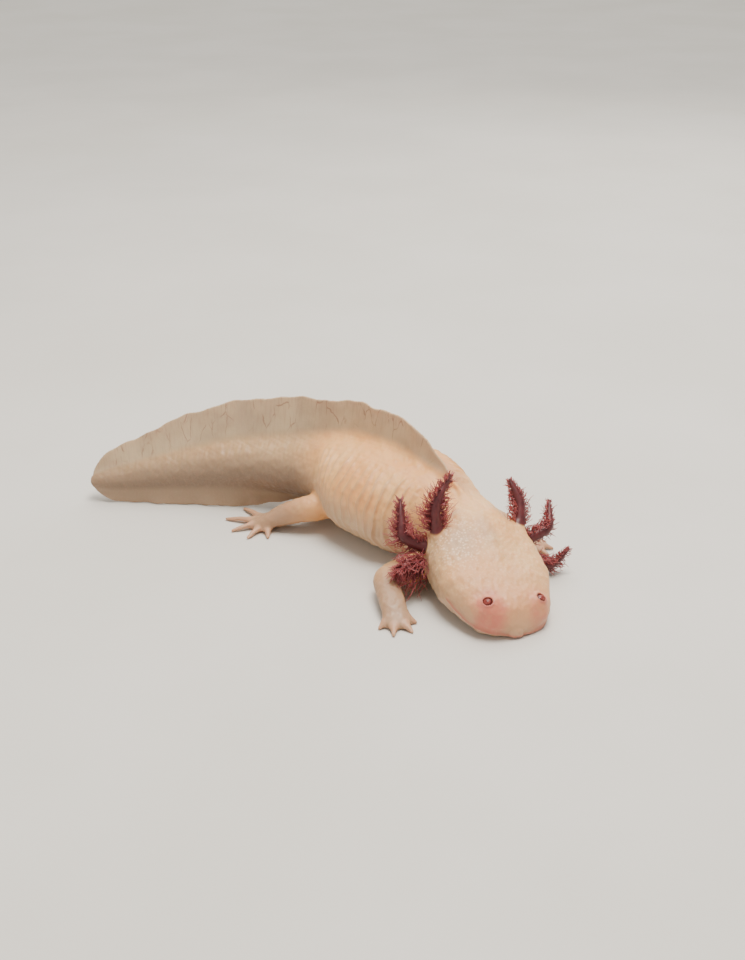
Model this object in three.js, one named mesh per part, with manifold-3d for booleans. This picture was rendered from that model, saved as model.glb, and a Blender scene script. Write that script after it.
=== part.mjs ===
// An albino axolotl (Ambystoma mexicanum), a gilled salamander, lying on its belly with its body bent
// to its right, its chin on the floor and its tail leaning to its left.
//
// Millimetres, +Z up. The belly, chin, soles and lower tail fin rest on the plane Z = 0, and the
// origin is the belly's resting point. The body is a loft along a spine, and s is the distance along
// that spine from the snout. In a cross-section x points to the animal's left and z to its back.
import * as THREE from "three";
import { mergeVertices } from "three/addons/utils/BufferGeometryUtils.js";
import Module from "manifold-3d";

const wasm = await Module();
wasm.setup();

// ---------------------------------------------------------------- driving dimensions
const GAP = 0.3; // clearance between neighbouring solids
const BODY_LENGTH = 188; // snout to the end of the tail
const REST_AT = 84; // station of the origin, where the belly lies on the floor
const PRESS = 0.4; // how far soft flesh flattens on the floor

// Stations of the cuts between the body's pieces.
const HEAD_END = 41;
const NECK_END = 50;
const CHEST_END = 72;
const TRUNK_END = 103;
const TAIL_CUTS = [130, 158];

// Direction of the spine, tailwards: its heading from +X and its rise above the floor, in degrees.
const HEADING = [[0, 106.2], [36, 108.2], [46, 122.5], [56, 131], [70, 134], [84, 135.5], [94, 143],
  [104, 157], [116, 168], [135, 175], [160, 178], [188, 179]];
const RISE = [[0, 17.7], [36, 12.7], [46, 3.4], [56, 0.8], [68, 2], [80, 2.6], [92, 1.2], [110, -1],
  [125, -1.4], [140, -5.6], [160, -9], [188, -9]];
// How far the back leans to the animal's left, in degrees.
const LEAN = [[0, 7], [40, 5], [60, 0], [90, 2], [105, 8], [120, 14], [140, 20], [188, 22]];

// Half-width, height of the back and depth of the belly from the spine, and how square the section is.
const HALF_WIDTH = [[0, 11.6], [6, 13], [12, 15], [20, 17.4], [28, 17.4], [34, 16.2], [36, 15], [39, 13],
  [42, 12.2], [46, 12], [56, 16], [70, 20.8], [84, 20.8], [96, 17.2], [106, 12.4], [122, 8], [145, 4.8],
  [170, 3], [188, 1.8]];
const BACK = [[0, 4], [5, 6.7], [12, 7.8], [20, 8.6], [30, 10.4], [38, 11.4], [46, 11.6], [58, 15.7],
  [76, 17.3], [92, 15.2], [106, 11.8], [122, 8.8], [145, 6.2], [170, 3.6], [188, 1.8]];
const BELLY = [[0, 3.6], [6, 4.6], [14, 6.9], [22, 9.2], [32, 11.3], [40, 11.9], [50, 12.6], [66, 14.6],
  [84, 14.8], [98, 12.4], [110, 10], [125, 8], [145, 5.6], [170, 3.4], [188, 1.8]];
const SQUARENESS = [[0, 3.3], [32, 2.8], [42, 2.3], [60, 2.1], [110, 2.05], [188, 2]];
// The snout is blunt from above and rounder from the side, and the tail's core ends in a short dome.
const SNOUT_ROUND = { width: 9.2, depth: 6.2, power: 2.7 };
const TAIL_ROUND = 5;

// Fins: how far each stands from the core, and its thickness at the root and at the edge.
const DORSAL_FIN = [[48, 1.2], [58, 5.8], [70, 10.2], [84, 11.4], [96, 12.2], [108, 13.2], [125, 15.2],
  [145, 14.2], [165, 11], [178, 8.4], [188, 7.2]];
const VENTRAL_FIN = [[112, 0.8], [122, 4.6], [135, 7.6], [150, 8.4], [165, 7.4], [178, 6], [188, 5.2]];
const FIN_ROOT = 3;
const FIN_SHOULDER = { height: 0.35, thickness: 1.8 }; // its height is a share of the fin's
const FIN_EDGE = 1;
const FIN_TIP_ROUND = 14;
const DORSAL_PIECES = { dorsal_fin_trunk: [50, 103], dorsal_fin_tail: [103, 145], dorsal_fin_tip: [145, 188] };
const VENTRAL_PIECES = { ventral_fin_tail: [114, 150], ventral_fin_tip: [150, 188] };

// Mouth: its height below the spine at the snout, mid-jaw and corner.
const MOUTH = { front: -0.9, middle: -1.2, middleAt: 10, corner: -0.4, cornerAt: 17, jawEnd: 19.5 };
const JAW_BOX = { ahead: -6, below: -20, reach: 35 }; // a box that holds the whole lower jaw

const EYE = { s: 6.5, x: 8.4, radius: 1.7, proud: 0.75 };

// Gills: three stalks on each side, from the upper to the lower. Root is [s, outward, z] in the head;
// middle and tip are how far the stalk goes [tailwards, outward, up] from its root.
const GILLS = {
  gill_right_upper: { side: -1, root: [36, 13.6, 5.6], middle: [3.4, 1, 8], tip: [8.8, -4.4, 16.6] },
  gill_right_middle: { side: -1, root: [35.5, 14.4, 1], middle: [5.2, 8.6, 3.1], tip: [13, 7.9, 10.1] },
  gill_right_lower: { side: -1, root: [34, 14.8, -3.6], middle: [-1.4, 7.4, 1.2], tip: [-4, 13.4, 2] },
  gill_left_upper: { side: 1, root: [36, 13.6, 5.6], middle: [5.4, 1.6, 5], tip: [11.8, -0.6, 10.8] },
  gill_left_middle: { side: 1, root: [35.5, 14.4, 1], middle: [2.7, 11, 4], tip: [9.4, 12.9, 8.2] },
  gill_left_lower: { side: 1, root: [34, 14.8, -4], middle: [-3.6, 9.6, -0.8], tip: [-3, 15.4, 4.6] },
};
const GILL_STALK = [[0, 2.3], [0.5, 1.8], [1, 0.7]]; // radius along the stalk
const GILL_FACING = -0.7; // how far the filaments' two rows turn towards the snout from facing up
// Filaments: rows on each side of a stalk, between two shares of its length. Each sweeps towards the
// tip, and those at the tip are shorter by `shorter`.
const GILL_FILAMENT = {
  rows: 7, from: 0.22, to: 0.94, radius: 0.55, tipRadius: 0.3, length: 4.2, shorter: 0.45, sweep: 0.9,
};

// Legs: joints are [forward, outward, height] from the spine's station on the floor. Digits fan out
// from the foot between two bearings, in degrees outward from the animal's heading.
const ARM_WIDTH = [[0, 4.8], [0.35, 4.5], [0.7, 3.8], [0.86, 4], [1, 3.4]];
const ARM_DEPTH = [[0, 4.4], [0.35, 4], [0.7, 3.1], [0.86, 2.2], [1, 1.3]];
const LEG_WIDTH = [[0, 5.6], [0.4, 4.5], [0.72, 3.9], [0.88, 4.6], [1, 4]];
const LEG_DEPTH = [[0, 5.6], [0.4, 4.3], [0.72, 3.5], [0.88, 2.4], [1, 1.4]];
const DIGIT = { root: 0.93, rootHeight: 1.4, kneeAt: 0.6, kneeHeight: 1.3, tipHeight: 0.5, beyond: 3 };
const LIMBS = {
  arm_right: {
    names: ["arm_right_upper", "arm_right_lower", "hand_right"],
    s: 50, side: -1, width: ARM_WIDTH, depth: ARM_DEPTH,
    joints: [[4.5, 9, 5.4], [5.4, 30, 5.2], [15, 34.8, 4], [19.4, 36.8, 1.7]], cuts: [0.46, 0.76],
    digits: { count: 4, from: 76, to: -34, lengths: [4.2, 6.3, 6, 3.6], width: 1 },
  },
  arm_left: {
    names: ["arm_left_upper", "arm_left_lower", "hand_left"],
    s: 50, side: 1, width: ARM_WIDTH, depth: ARM_DEPTH,
    joints: [[-1, 8, 8.4], [-3, 20.5, 7], [5, 25, 3.6], [9.4, 26, 1.6]], cuts: [0.58, 0.78],
    digits: { count: 4, from: 75, to: -25, lengths: [4, 5.5, 6, 5], width: 1.1 },
  },
  leg_right: {
    names: ["leg_right_upper", "leg_right_lower", "foot_right"],
    s: 102, side: -1, width: LEG_WIDTH, depth: LEG_DEPTH,
    joints: [[5, 8, 9], [-1.5, 17, 8], [-11.5, 20.3, 4.4], [-17, 20.3, 1.8]], cuts: [0.46, 0.78],
    digits: { count: 5, from: 207, to: 62, lengths: [12, 12, 9.5, 8, 6], width: 1.1 },
  },
  leg_left: {
    names: ["leg_left_upper", "leg_left_lower", "foot_left"],
    s: 102, side: 1, width: LEG_WIDTH, depth: LEG_DEPTH,
    joints: [[5, 8, 9], [-1, 18, 7.5], [-11, 24, 4], [-15, 26, 1.7]], cuts: [0.46, 0.78],
    digits: { count: 5, from: 200, to: 70, lengths: [7, 9, 8.5, 7.5, 6], width: 1.1 },
  },
};

// Fineness of the facets.
const BODY_SIDES = 24;
const BODY_SPACING = 5.3;
const LIMB_SIDES = 10;
const DIGIT_SIDES = 5;
const STALK_SIDES = 8;

const SKIN = new THREE.MeshStandardMaterial({ name: "skin", color: 0xd9b59f, roughness: 0.42, metalness: 0 });
const FIN = new THREE.MeshStandardMaterial({ name: "fin", color: 0xcbab98, roughness: 0.4, metalness: 0 });
const GILL = new THREE.MeshStandardMaterial({ name: "gill", color: 0x7c3236, roughness: 0.45, metalness: 0 });
const IRIS = new THREE.MeshStandardMaterial({ name: "eye", color: 0xa5524c, roughness: 0.12, metalness: 0 });

// ---------------------------------------------------------------- curves
const RADIANS = Math.PI / 180;
const UP = new THREE.Vector3(0, 0, 1);

// A smooth monotone curve through [place, value] keys.
function through(keys) {
  const at = keys.map((k) => k[0]);
  const value = keys.map((k) => k[1]);
  const slope = at.slice(1).map((x, i) => (value[i + 1] - value[i]) / (x - at[i]));
  const tangent = at.map((_, i) => {
    if (i === 0) return slope[0];
    if (i === slope.length) return slope[i - 1];
    const product = slope[i - 1] * slope[i];
    return product > 0 ? (2 * product) / (slope[i - 1] + slope[i]) : 0;
  });
  return (x) => {
    if (x <= at[0]) return value[0];
    if (x >= at[at.length - 1]) return value[at.length - 1];
    const i = at.findIndex((a) => a > x) - 1;
    const h = at[i + 1] - at[i];
    const t = (x - at[i]) / h;
    const rest = value[i + 1] - value[i] - tangent[i] * h;
    const turn = (tangent[i + 1] - tangent[i]) * h;
    return value[i] + tangent[i] * h * t + (3 * rest - turn) * t * t + (turn - 2 * rest) * t * t * t;
  };
}

// A smooth curve through points, with its place given as a share of its length.
function pathThrough(points) {
  const far = [0];
  points.slice(1).forEach((p, i) => far.push(far[i] + p.distanceTo(points[i])));
  const length = far[far.length - 1];
  const axes = ["x", "y", "z"].map((axis) => through(points.map((p, i) => [far[i] / length, p[axis]])));
  const at = (t) => new THREE.Vector3(...axes.map((f) => f(t)));
  const along = (t) => at(Math.min(t + 0.01, 1)).sub(at(Math.max(t - 0.01, 0))).normalize();
  return { at, along, length };
}

// The rounding of an end: 0 at its tip and 1 once `reach` away.
function rounding(from, reach, power) {
  const t = Math.min(Math.max(from / reach, 0), 1);
  return (1 - (1 - t) ** power) ** (1 / power);
}

// ---------------------------------------------------------------- spine
const headingAt = through(HEADING);
const riseAt = through(RISE);
const leanAt = through(LEAN);
const halfWidthAt = through(HALF_WIDTH);
const backAt = through(BACK);
const bellyAt = through(BELLY);
const squarenessAt = through(SQUARENESS);

function tailwardAt(s) {
  const turn = headingAt(s) * RADIANS;
  const climb = riseAt(s) * RADIANS;
  return new THREE.Vector3(Math.cos(turn) * Math.cos(climb), Math.sin(turn) * Math.cos(climb), Math.sin(climb));
}

const SPINE_STEP = 0.5;

function spinePoints() {
  const points = [new THREE.Vector3()];
  for (let i = 0; i * SPINE_STEP < BODY_LENGTH; i++) {
    points.push(points[i].clone().addScaledVector(tailwardAt((i + 0.5) * SPINE_STEP), SPINE_STEP));
  }
  const rest = points[REST_AT / SPINE_STEP].clone();
  rest.z -= bellyAt(REST_AT) - PRESS;
  return points.map((p) => p.sub(rest));
}

const spine = spinePoints();

function spineAt(s) {
  const i = Math.min(Math.max(Math.floor(s / SPINE_STEP), 0), spine.length - 2);
  const share = s / SPINE_STEP - i;
  return spine[i].clone().lerp(spine[i + 1], share);
}

// The section's own axes: towards the tail, the animal's left and its back.
function axesAt(s) {
  const tail = tailwardAt(s);
  const level = new THREE.Vector3().crossVectors(tail, UP).normalize();
  const upright = new THREE.Vector3().crossVectors(level, tail);
  const tilt = leanAt(s) * RADIANS;
  const left = level.clone().multiplyScalar(Math.cos(tilt)).addScaledVector(upright, -Math.sin(tilt));
  const up = upright.multiplyScalar(Math.cos(tilt)).addScaledVector(level, Math.sin(tilt));
  return { tail, left, up };
}

function place(s, x, z) {
  const { left, up } = axesAt(s);
  return spineAt(s).addScaledVector(left, x).addScaledVector(up, z);
}

// ---------------------------------------------------------------- solids
// A closed solid through rings of points. A ring of one point is an apex; other ends are capped.
function loft(rings) {
  const positions = [];
  const index = [];
  const starts = rings.map((ring) => {
    const start = positions.length / 3;
    ring.forEach((p) => positions.push(p.x, p.y, p.z));
    return start;
  });
  const sides = Math.max(...rings.map((ring) => ring.length));
  for (let r = 0; r + 1 < rings.length; r++) {
    const single = rings[r].length === 1;
    const nextSingle = rings[r + 1].length === 1;
    for (let k = 0; k < sides; k++) {
      const a = starts[r] + (single ? 0 : k);
      const b = starts[r] + (single ? 0 : (k + 1) % sides);
      const c = starts[r + 1] + (nextSingle ? 0 : k);
      const d = starts[r + 1] + (nextSingle ? 0 : (k + 1) % sides);
      if (!single) index.push(a, b, c);
      if (!nextSingle) index.push(b, d, c);
    }
  }
  const cap = (r, turned) => {
    if (rings[r].length === 1) return;
    if (sides === 3) {
      const [a, b, c] = [starts[r], starts[r] + 1, starts[r] + 2];
      index.push(...(turned ? [c, b, a] : [a, b, c]));
      return;
    }
    const middle = rings[r].reduce((sum, p) => sum.add(p), new THREE.Vector3()).divideScalar(sides);
    const centre = positions.length / 3;
    positions.push(middle.x, middle.y, middle.z);
    for (let k = 0; k < sides; k++) {
      const [a, b] = [starts[r] + k, starts[r] + ((k + 1) % sides)];
      index.push(centre, ...(turned ? [b, a] : [a, b]));
    }
  };
  cap(0, true);
  cap(rings.length - 1, false);
  const geometry = new THREE.BufferGeometry();
  geometry.setAttribute("position", new THREE.Float32BufferAttribute(positions, 3));
  geometry.setIndex(index);
  return solidOf(geometry);
}

// A manifold solid from a closed geometry, turned to face out.
function solidOf(geometry) {
  const plain = new THREE.BufferGeometry().setAttribute("position", geometry.getAttribute("position").clone());
  plain.setIndex(geometry.index);
  const merged = mergeVertices(plain, 1e-4);
  const points = merged.attributes.position;
  const corners = Array.from(merged.index.array);
  const [a, b, c] = [new THREE.Vector3(), new THREE.Vector3(), new THREE.Vector3()];
  let volume = 0;
  for (let i = 0; i < corners.length; i += 3) {
    a.fromBufferAttribute(points, corners[i]);
    b.fromBufferAttribute(points, corners[i + 1]);
    c.fromBufferAttribute(points, corners[i + 2]);
    volume += a.dot(b.cross(c));
  }
  if (volume < 0) corners.reverse();
  return new wasm.Manifold(
    new wasm.Mesh({ numProp: 3, vertProperties: points.array, triVerts: new Uint32Array(corners) }),
  );
}

function geometryOf(solid) {
  const mesh = solid.getMesh();
  const geometry = new THREE.BufferGeometry();
  geometry.setAttribute("position", new THREE.Float32BufferAttribute(mesh.vertProperties, 3));
  geometry.setIndex(new THREE.BufferAttribute(mesh.triVerts, 1));
  geometry.computeVertexNormals();
  return geometry;
}

const FLOOR_SIZE = 600;
const floorBox = new THREE.BoxGeometry(FLOOR_SIZE, FLOOR_SIZE, FLOOR_SIZE).translate(0, 0, -FLOOR_SIZE / 2);
const floorSolid = solidOf(floorBox);

const axolotl = new THREE.Group();

// Adds a solid as a named mesh, flattened where it lies on the floor.
function add(name, solid, material) {
  const mesh = new THREE.Mesh(geometryOf(solid.subtract(floorSolid)), material);
  mesh.name = name;
  axolotl.add(mesh);
}

// ---------------------------------------------------------------- body
// Half-width, back and belly of the section at s, with the rounding of both ends.
function sectionAt(s) {
  const end = rounding(BODY_LENGTH - s, TAIL_ROUND, 2);
  const width = rounding(s, SNOUT_ROUND.width, SNOUT_ROUND.power) * end;
  const depth = rounding(s, SNOUT_ROUND.depth, SNOUT_ROUND.power) * end;
  return { width: halfWidthAt(s) * width, back: backAt(s) * depth, belly: bellyAt(s) * depth };
}

const signedPower = (value, power) => Math.sign(value) * Math.abs(value) ** power;

// The ring of the body at s, `grown` outwards by that much.
function bodyRing(s, grown) {
  const { width, back, belly } = sectionAt(s);
  const power = 2 / squarenessAt(s);
  return Array.from({ length: BODY_SIDES }, (_, k) => {
    const turn = (2 * Math.PI * k) / BODY_SIDES;
    const x = (width + grown) * signedPower(Math.cos(turn), power);
    const height = Math.sin(turn) > 0 ? back : belly;
    return place(s, x, (height + grown) * signedPower(Math.sin(turn), power));
  });
}

const APEX = 0.02; // a ring this near an end is drawn as a point

// Stations from one end to the other, closer together where the snout and the tail's tip turn in.
function stations(from, to) {
  const found = [];
  for (let s = from; s < to - APEX; ) {
    found.push(s);
    const near = Math.min(s, BODY_LENGTH - s);
    s += Math.min(BODY_SPACING, 0.6 + near * 0.45);
  }
  if (to - found[found.length - 1] < 1) found.pop();
  found.push(to);
  return found;
}

function bodyLoft(from, to, grown = 0) {
  const rings = stations(from, to).map((s) => {
    const isEnd = s < APEX || s > BODY_LENGTH - APEX;
    return isEnd ? [spineAt(s)] : bodyRing(s, grown);
  });
  return loft(rings);
}

// A slab of the head's side view, drawn as [s, z] points and as wide as the head.
function headSlab(outline) {
  const shape = new THREE.Shape(outline.map(([s, z]) => new THREE.Vector2(s, z)));
  const slab = new THREE.ExtrudeGeometry(shape, { depth: 2 * JAW_BOX.reach, bevelEnabled: false });
  slab.translate(0, 0, -JAW_BOX.reach);
  const { tail, left, up } = axesAt(0);
  const turned = new THREE.Matrix4().makeBasis(tail, up, left).setPosition(spineAt(0));
  return solidOf(slab.applyMatrix4(turned));
}

// The space under the mouth, `shrunk` on its upper and rear sides.
function jawSpace(shrunk) {
  const { ahead, below } = JAW_BOX;
  return headSlab([
    [ahead, MOUTH.front - shrunk],
    [MOUTH.middleAt, MOUTH.middle - shrunk],
    [MOUTH.cornerAt - shrunk, MOUTH.corner - shrunk],
    [MOUTH.jawEnd - shrunk, below],
    [ahead, below],
  ]);
}

// The height of the back at a point of the section.
function backHeight(s, x) {
  const { width, back } = sectionAt(s);
  const power = squarenessAt(s);
  return back * (1 - Math.abs(x / width) ** power) ** (1 / power);
}

function eyeCentre(side) {
  const { s, x, radius, proud } = EYE;
  const step = 0.5;
  const surface = place(s, side * x, backHeight(s, x));
  const here = place(s, side * (x - step), backHeight(s, x - step));
  const there = place(s, side * (x + step), backHeight(s, x + step));
  const across = there.sub(here).multiplyScalar(side);
  const outward = new THREE.Vector3().crossVectors(across, axesAt(s).tail).normalize();
  if (outward.z < 0) outward.negate();
  return surface.addScaledVector(outward, proud - radius);
}

function eyeball(side, radius) {
  const sphere = new THREE.IcosahedronGeometry(radius, 2);
  return solidOf(sphere.translate(...eyeCentre(side).toArray()));
}

function addHead() {
  const whole = bodyLoft(0, HEAD_END);
  let head = whole.subtract(jawSpace(0));
  for (const [name, side] of [["eye_left", 1], ["eye_right", -1]]) {
    head = head.subtract(eyeball(side, EYE.radius + GAP));
    add(name, eyeball(side, EYE.radius), IRIS);
  }
  add("head", head, SKIN);
  add("lower_jaw", whole.intersect(jawSpace(GAP)), SKIN);
}

function addTrunkAndTail() {
  const cuts = [HEAD_END, NECK_END, CHEST_END, TRUNK_END, ...TAIL_CUTS, BODY_LENGTH];
  const names = ["neck", "chest", "trunk", "tail_base", "tail_middle", "tail_tip"];
  names.forEach((name, i) => {
    const end = i === names.length - 1 ? cuts[i + 1] : cuts[i + 1] - GAP;
    add(name, bodyLoft(cuts[i] + (i === 0 ? GAP : 0), end), SKIN);
  });
}

// ---------------------------------------------------------------- fins
// The section of a fin from `root` to `edge` above the spine (below it, if negative).
function finRing(s, root, edge) {
  const shoulder = root + FIN_SHOULDER.height * (edge - root);
  const half = [FIN_ROOT / 2, FIN_SHOULDER.thickness / 2, FIN_EDGE / 2];
  const heights = [root, shoulder, edge];
  const right = heights.map((z, i) => place(s, -half[i], z));
  const left = heights.map((z, i) => place(s, half[i], z));
  return [...right, ...left.reverse()];
}

function addFin(name, [from, to], heightAt, coreAt, sign) {
  const count = Math.ceil((to - from) / BODY_SPACING);
  const last = to - (to === BODY_LENGTH ? 1 : GAP);
  const rings = Array.from({ length: count + 1 }, (_, i) => {
    const s = from + ((last - from) * i) / count;
    const root = coreAt(s) + GAP;
    const height = Math.max(heightAt(s) * rounding(BODY_LENGTH - s, FIN_TIP_ROUND, 2), 2 * GAP);
    return finRing(s, sign * root, sign * (root + height));
  });
  add(name, loft(rings), FIN);
}

function addFins() {
  const dorsal = through(DORSAL_FIN);
  const ventral = through(VENTRAL_FIN);
  for (const [name, span] of Object.entries(DORSAL_PIECES)) addFin(name, span, dorsal, backAt, 1);
  for (const [name, span] of Object.entries(VENTRAL_PIECES)) addFin(name, span, ventral, bellyAt, -1);
}

// ---------------------------------------------------------------- limbs and gills
// A ring round a path at t, `width` across level ground and `depth` the other way.
function pathRing(path, t, width, depth, sides) {
  const along = path.along(t);
  const across = new THREE.Vector3().crossVectors(UP, along).normalize();
  const lift = new THREE.Vector3().crossVectors(along, across);
  return Array.from({ length: sides }, (_, k) => {
    const turn = (2 * Math.PI * k) / sides;
    const point = path.at(t).addScaledVector(across, width * Math.cos(turn));
    return point.addScaledVector(lift, depth * Math.sin(turn));
  });
}

function tube(path, from, to, widthAt, depthAt, sides, count) {
  const rings = Array.from({ length: count + 1 }, (_, i) => {
    const t = from + ((to - from) * i) / count;
    return pathRing(path, t, widthAt(t), depthAt(t), sides);
  });
  return loft(rings);
}

// A point beside the spine's station, measured on the floor in the animal's own directions.
function beside(s, side, [forward, outward, height]) {
  const flatTail = tailwardAt(s).setZ(0).normalize();
  const flatLeft = new THREE.Vector3().crossVectors(flatTail, UP);
  return spineAt(s).addScaledVector(flatTail, -forward).addScaledVector(flatLeft, side * outward).setZ(height);
}

function digit(limb, foot, bearing, length) {
  const { s, side, digits } = limb;
  const forward = tailwardAt(s).setZ(0).normalize().negate();
  const outward = new THREE.Vector3().crossVectors(UP, forward).multiplyScalar(side);
  const turn = bearing * RADIANS;
  const along = forward.multiplyScalar(Math.cos(turn)).addScaledVector(outward, Math.sin(turn));
  const reach = length + DIGIT.beyond;
  const path = pathThrough([
    foot.clone().setZ(DIGIT.rootHeight),
    foot.clone().addScaledVector(along, reach * DIGIT.kneeAt).setZ(DIGIT.kneeHeight),
    foot.clone().addScaledVector(along, reach).setZ(DIGIT.tipHeight),
  ]);
  const width = through([[0, digits.width * 1.2], [0.5, digits.width], [1, digits.width * 0.5]]);
  const depth = through([[0, digits.width], [0.5, digits.width * 0.85], [1, 0.45]]);
  return tube(path, 0, 1, width, depth, DIGIT_SIDES, 3);
}

function addLimb(limb, bodySpace) {
  const joints = limb.joints.map((joint) => beside(limb.s, limb.side, joint));
  const path = pathThrough(joints);
  const width = through(limb.width);
  const depth = through(limb.depth);
  const [elbow, wrist] = limb.cuts;
  const gap = GAP / path.length;
  const upper = tube(path, 0, elbow, width, depth, LIMB_SIDES, 4);
  const lower = tube(path, elbow + gap, wrist, width, depth, LIMB_SIDES, 4);
  let foot = tube(path, wrist + gap, 1, width, depth, LIMB_SIDES, 3);
  const { count, from, to, lengths } = limb.digits;
  const root = path.at(DIGIT.root);
  for (let i = 0; i < count; i++) {
    foot = foot.add(digit(limb, root, from + ((to - from) * i) / (count - 1), lengths[i]));
  }
  [upper, lower, foot].forEach((solid, i) => add(limb.names[i], solid.subtract(bodySpace), SKIN));
}

function gillPath({ side, root, middle, tip }) {
  const [s, outward, z] = root;
  const { tail, left, up } = axesAt(s);
  const start = place(s, side * outward, z);
  const go = ([back, out, rise]) =>
    start.clone().addScaledVector(tail, back).addScaledVector(left, side * out).addScaledVector(up, rise);
  return pathThrough([start, go(middle), go(tip)]);
}

// A gill: a tapering stalk with two rows of filaments that sweep towards its tip.
function addGill(name, gill, bodySpace) {
  const path = gillPath(gill);
  const radius = through(GILL_STALK);
  const { tail, up } = axesAt(gill.root[0]);
  const face = up.clone().addScaledVector(tail, GILL_FACING).normalize();
  let solid = tube(path, 0, 1, radius, radius, STALK_SIDES, STALK_SIDES - 2);
  const { rows, from: first, to: last, length, shorter, sweep } = GILL_FILAMENT;
  for (let i = 0; i < rows; i++) {
    const t = first + ((last - first) * i) / (rows - 1);
    const along = path.along(t);
    const across = new THREE.Vector3().crossVectors(along, face).normalize();
    for (const way of [1, -1]) {
      const out = across.clone().multiplyScalar(way).addScaledVector(along, sweep).normalize();
      const from = path.at(t).addScaledVector(out, radius(t) * 0.4);
      const to = path.at(t).addScaledVector(out, radius(t) + length * (1 - shorter * t));
      solid = solid.add(spike(from, to));
    }
  }
  add(name, solid.subtract(bodySpace), GILL);
}

// A three-sided filament that narrows to a blunt end.
function spike(from, to) {
  const along = to.clone().sub(from).normalize();
  const across = new THREE.Vector3().crossVectors(along, UP).normalize();
  const lift = new THREE.Vector3().crossVectors(along, across);
  const ring = (centre, size) =>
    [0, 1, 2].map((k) => {
      const turn = (2 * Math.PI * k) / 3;
      const point = centre.clone().addScaledVector(across, size * Math.cos(turn));
      return point.addScaledVector(lift, size * Math.sin(turn));
    });
  return loft([ring(from, GILL_FILAMENT.radius), ring(to, GILL_FILAMENT.tipRadius)]);
}

// ---------------------------------------------------------------- the animal
addHead();
addTrunkAndTail();
addFins();
const bodySpace = bodyLoft(0, BODY_LENGTH, GAP);
for (const limb of Object.values(LIMBS)) addLimb(limb, bodySpace);
for (const [name, gill] of Object.entries(GILLS)) addGill(name, gill, bodySpace);

export default axolotl;
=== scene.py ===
"""An albino axolotl lying on its belly: its skin, gills, eyes and finish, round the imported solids.

Lengths are millimetres until a mesh is made. The body is described as in the solids: s is the distance
along the spine from the snout, x points to the animal's left and z to its back. The skin is the zero
surface of one field of distances, meshed on a grid, so body, fins, legs and gill stalks share it.
"""
import math

import bpy
import numpy as np
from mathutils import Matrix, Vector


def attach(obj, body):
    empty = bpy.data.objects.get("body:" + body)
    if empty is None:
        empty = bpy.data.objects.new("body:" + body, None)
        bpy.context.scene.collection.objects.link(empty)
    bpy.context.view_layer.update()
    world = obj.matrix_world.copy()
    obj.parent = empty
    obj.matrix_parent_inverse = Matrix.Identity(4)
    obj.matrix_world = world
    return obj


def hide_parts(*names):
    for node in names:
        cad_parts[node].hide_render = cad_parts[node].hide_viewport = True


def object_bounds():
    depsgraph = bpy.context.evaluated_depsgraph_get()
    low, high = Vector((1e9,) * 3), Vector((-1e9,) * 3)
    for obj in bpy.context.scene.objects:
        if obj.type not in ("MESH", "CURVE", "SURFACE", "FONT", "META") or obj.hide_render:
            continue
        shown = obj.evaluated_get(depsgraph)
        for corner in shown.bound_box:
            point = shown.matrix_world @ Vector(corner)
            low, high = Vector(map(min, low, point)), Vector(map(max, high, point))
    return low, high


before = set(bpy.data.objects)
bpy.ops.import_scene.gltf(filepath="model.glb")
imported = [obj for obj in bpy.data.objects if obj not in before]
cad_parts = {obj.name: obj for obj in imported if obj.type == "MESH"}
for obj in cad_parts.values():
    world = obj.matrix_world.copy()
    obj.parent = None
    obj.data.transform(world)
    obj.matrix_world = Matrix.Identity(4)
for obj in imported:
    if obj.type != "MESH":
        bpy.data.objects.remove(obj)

import openvdb
from mathutils import Vector

cad_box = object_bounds()
MM = 0.001
SEED = 7

# ---------------- driving dimensions
# A curve is a list of [s, value] keys. The spine starts at the snout and runs tailward: HEADING and RISE are
# its bearing and climb in degrees, and LEAN is how far its sections roll. The belly rests at REST_AT, pressed
# PRESS deep into the floor.
LENGTH = 188.0
REST_AT = 84.0
PRESS = 0.4
HEADING = [[0, 106.2], [36, 108.2], [46, 122.5], [56, 131], [70, 134], [84, 135.5], [94, 143], [104, 157],
           [116, 168], [135, 175], [160, 178], [188, 179]]
RISE = [[0, 17.7], [36, 12.7], [46, 3.4], [56, 0.8], [68, 2], [80, 2.6], [92, 1.2], [110, -1], [125, -1.4],
        [140, -5.6], [160, -9], [188, -9]]
LEAN = [[0, 7], [40, 5], [60, 0], [90, 2], [105, 8], [120, 14], [140, 20], [188, 22]]
HALF_WIDTH = [[0, 11.6], [6, 13], [12, 15], [20, 17.4], [28, 17.4], [34, 16.2], [36, 15], [39, 13],
              [42, 12.2], [46, 12], [56, 16], [70, 20.8], [84, 20.8], [96, 17.2], [106, 12.4], [122, 8],
              [145, 4.8], [170, 3], [188, 1.8]]
BACK = [[0, 4], [5, 6.7], [12, 7.8], [20, 8.6], [30, 10.4], [38, 11.4], [46, 11.6], [58, 15.7],
        [76, 17.3], [92, 15.2], [106, 11.8], [122, 8.8], [145, 6.2], [170, 3.6], [188, 1.8]]
BELLY = [[0, 3.6], [6, 4.6], [14, 6.9], [22, 9.2], [32, 11.3], [40, 11.9], [50, 12.6], [66, 14.6],
         [84, 14.8], [98, 12.4], [110, 10], [125, 8], [145, 5.6], [170, 3.4], [188, 1.8]]
SQUARENESS = [[0, 3.3], [32, 2.8], [42, 2.3], [60, 2.1], [110, 2.05], [188, 2]]
SNOUT_WIDTH_ROUND, SNOUT_DEPTH_ROUND, SNOUT_POWER = 9.2, 6.2, 2.7
TAIL_ROUND = 5.0

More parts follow.
